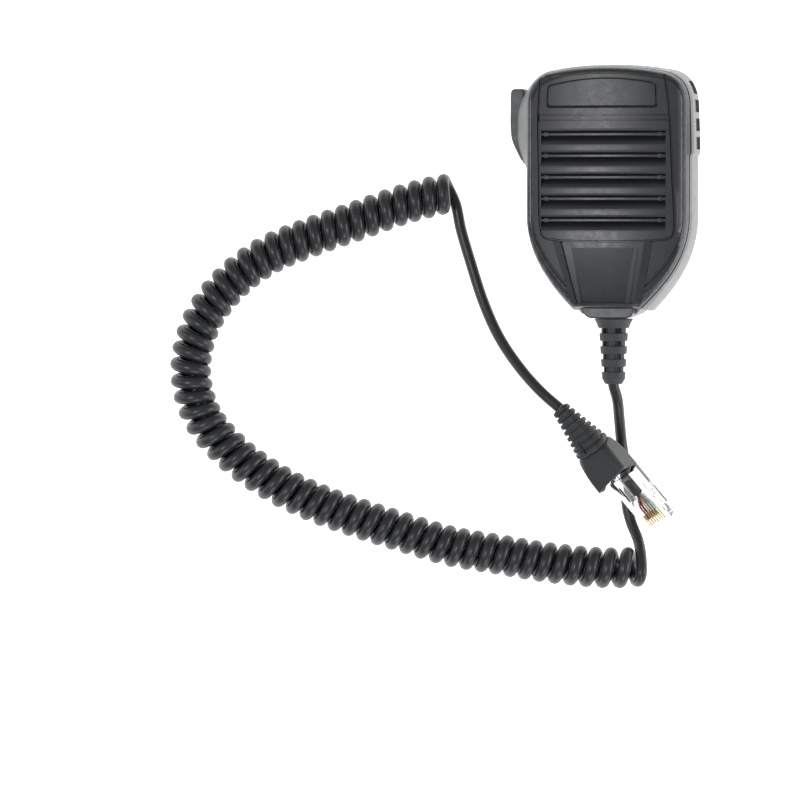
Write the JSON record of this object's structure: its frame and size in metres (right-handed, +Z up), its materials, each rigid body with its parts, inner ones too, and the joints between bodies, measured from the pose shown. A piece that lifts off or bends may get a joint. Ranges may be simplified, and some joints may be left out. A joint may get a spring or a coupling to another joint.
{
  "type": "hand microphone",
  "caption": "Black hand microphone of a mobile radio: push-to-talk bar, louvred grille, curly cord and clear modular plug, lying on its back.",
  "frame": {"origin": "middle of the handset's box where it lies, on the floor under it; the cord and plug are left out of that box", "axes": "+Z up from the floor, +Y towards the handset's top end, +X towards its right side seen from the front"},
  "size_m": [0.1975, 0.1955, 0.0399],
  "materials": {
    "case_plastic": "satin black, fine moulded grain",
    "rear_plastic": "satin mid grey, fine moulded grain",
    "lever_plastic": "satin dark grey",
    "screen_cloth": "fine black cloth",
    "soft_rubber": "soft matt black",
    "boot_rubber": "matt black moulded vinyl",
    "relief_rubber": "matt dark grey moulded vinyl",
    "cord_jacket": "satin black vinyl",
    "capsule_can": "satin",
    "board_green": "green solder mask",
    "beige_plastic": "natural nylon",
    "plated_steel": "zinc plated",
    "stud_chrome": "bright plated",
    "clear_plastic": "clear polycarbonate",
    "contact_gold": "gold plated",
    "wire_white": "white insulation",
    "wire_teal": "teal insulation",
    "wire_orange": "orange insulation",
    "wire_cream": "cream insulation",
    "wire_black": "black insulation",
    "wire_red": "red insulation"
  },
  "bodies": {
    "handset": {"front_case": "case_plastic", "rear_case": "rear_plastic", "sound_screen": "screen_cloth", "mic_holder": "soft_rubber", "mic_capsule": "capsule_can", "circuit_board": "board_green", "ptt_switch": "lever_plastic", "lead_connector": "beige_plastic", "cable_clamp": "plated_steel", "strain_relief": "relief_rubber", "cord_lead_in": "cord_jacket", "hanger_stud": "stud_chrome", "hanger_washer": "plated_steel", "hanger_nut": "plated_steel", "ptt_hinge_pin": "plated_steel", "ptt_seal": "soft_rubber", "case_screw_1": "plated_steel", "case_screw_2": "plated_steel", "case_screw_3": "plated_steel", "case_screw_4": "plated_steel", "board_screw_1": "plated_steel", "board_screw_2": "plated_steel", "clamp_screw_1": "plated_steel", "clamp_screw_2": "plated_steel", "cord_mic_tail": "cord_jacket", "cord_curl": "cord_jacket", "cord_plug_tail": "cord_jacket", "plug_body": "clear_plastic", "plug_boot": "boot_rubber", "cord_jacket_end": "cord_jacket", "contact_1": "contact_gold", "contact_2": "contact_gold", "contact_3": "contact_gold", "contact_4": "contact_gold", "contact_5": "contact_gold", "contact_6": "contact_gold", "contact_7": "contact_gold", "contact_8": "contact_gold", "wire_1": "wire_white", "wire_2": "wire_teal", "wire_3": "wire_orange", "wire_4": "wire_cream", "wire_5": "wire_black", "wire_6": "wire_red"},
    "ptt_bar": {"ptt_lever": "lever_plastic"},
    "plunger": {"ptt_plunger": "beige_plastic"},
    "latch": {"plug_latch": "clear_plastic"}
  },
  "joints": [
    {"name": "ptt_press", "type": "hinge", "parent": "handset", "child": "ptt_bar", "pos_m": [-0.02804, 0.02449, 0.00573], "axis": [0.2249, 0.034, -0.9738], "range_deg": [0, 6], "stiffness_Nm_per_rad": 0.5},
    {"name": "plunger_travel", "type": "slide", "parent": "handset", "child": "plunger", "axis": [0.9744, -0.0079, 0.2248], "range_m": [0, 0.0018]},
    {"name": "latch_flex", "type": "hinge", "parent": "handset", "child": "latch", "pos_m": [0.02075, -0.10719, 0.00352], "axis": [0.7581, 0.4827, 0.4385], "range_deg": [0, 12], "stiffness_Nm_per_rad": 0.3}
  ],
  "couplings": [
    {"joint": "plunger_travel", "follows": "ptt_press", "m_per_rad": 0.0169}
  ]
}
